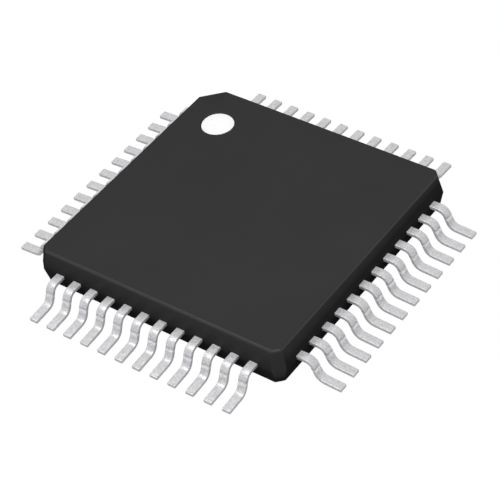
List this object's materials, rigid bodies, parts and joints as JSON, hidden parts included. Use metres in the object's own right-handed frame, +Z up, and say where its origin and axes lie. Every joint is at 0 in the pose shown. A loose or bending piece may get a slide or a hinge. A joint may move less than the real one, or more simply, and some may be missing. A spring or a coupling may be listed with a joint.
{
  "type": "quad flat pack chip",
  "caption": "Thin square surface-mount chip with fine-pitch gull-wing leads on every side, moulded in black epoxy with a round white orientation mark.",
  "frame": {"origin": "on the seating plane that the toes of the leads rest on, under the middle of the square body", "axes": "+Z up out of the board, +X and +Y square to the body's sides. Lead 1 is at the +Y end of the -X side, beside the wide corner chamfer, and the leads are numbered anticlockwise seen from +Z."},
  "size_m": [0.0092, 0.0092, 0.0011],
  "materials": {
    "mould_compound": "fine matte, as moulded",
    "white_ink": "matte white ink",
    "tinned_lead": "satin matte tin plate",
    "copper_frame": "satin copper alloy",
    "die_adhesive": "silver-filled epoxy",
    "silicon": "polished silicon",
    "gold_wire": "bright drawn gold"
  },
  "bodies": {
    "root": {"mould_body": "mould_compound", "pin_1_mark": "white_ink", "die_paddle": "copper_frame", "die_attach": "die_adhesive", "die": "silicon", "bond_wires": "gold_wire", "lead_01": "tinned_lead", "lead_02": "tinned_lead", "lead_03": "tinned_lead", "lead_04": "tinned_lead", "lead_05": "tinned_lead", "lead_06": "tinned_lead", "lead_07": "tinned_lead", "lead_08": "tinned_lead", "lead_09": "tinned_lead", "lead_10": "tinned_lead", "lead_11": "tinned_lead", "lead_12": "tinned_lead", "lead_13": "tinned_lead", "lead_14": "tinned_lead", "lead_15": "tinned_lead", "lead_16": "tinned_lead", "lead_17": "tinned_lead", "lead_18": "tinned_lead", "lead_19": "tinned_lead", "lead_20": "tinned_lead", "lead_21": "tinned_lead", "lead_22": "tinned_lead", "lead_23": "tinned_lead", "lead_24": "tinned_lead", "lead_25": "tinned_lead", "lead_26": "tinned_lead", "lead_27": "tinned_lead", "lead_28": "tinned_lead", "lead_29": "tinned_lead", "lead_30": "tinned_lead", "lead_31": "tinned_lead", "lead_32": "tinned_lead", "lead_33": "tinned_lead", "lead_34": "tinned_lead", "lead_35": "tinned_lead", "lead_36": "tinned_lead", "lead_37": "tinned_lead", "lead_38": "tinned_lead", "lead_39": "tinned_lead", "lead_40": "tinned_lead", "lead_41": "tinned_lead", "lead_42": "tinned_lead", "lead_43": "tinned_lead", "lead_44": "tinned_lead", "lead_45": "tinned_lead", "lead_46": "tinned_lead", "lead_47": "tinned_lead", "lead_48": "tinned_lead"}
  },
  "joints": []
}
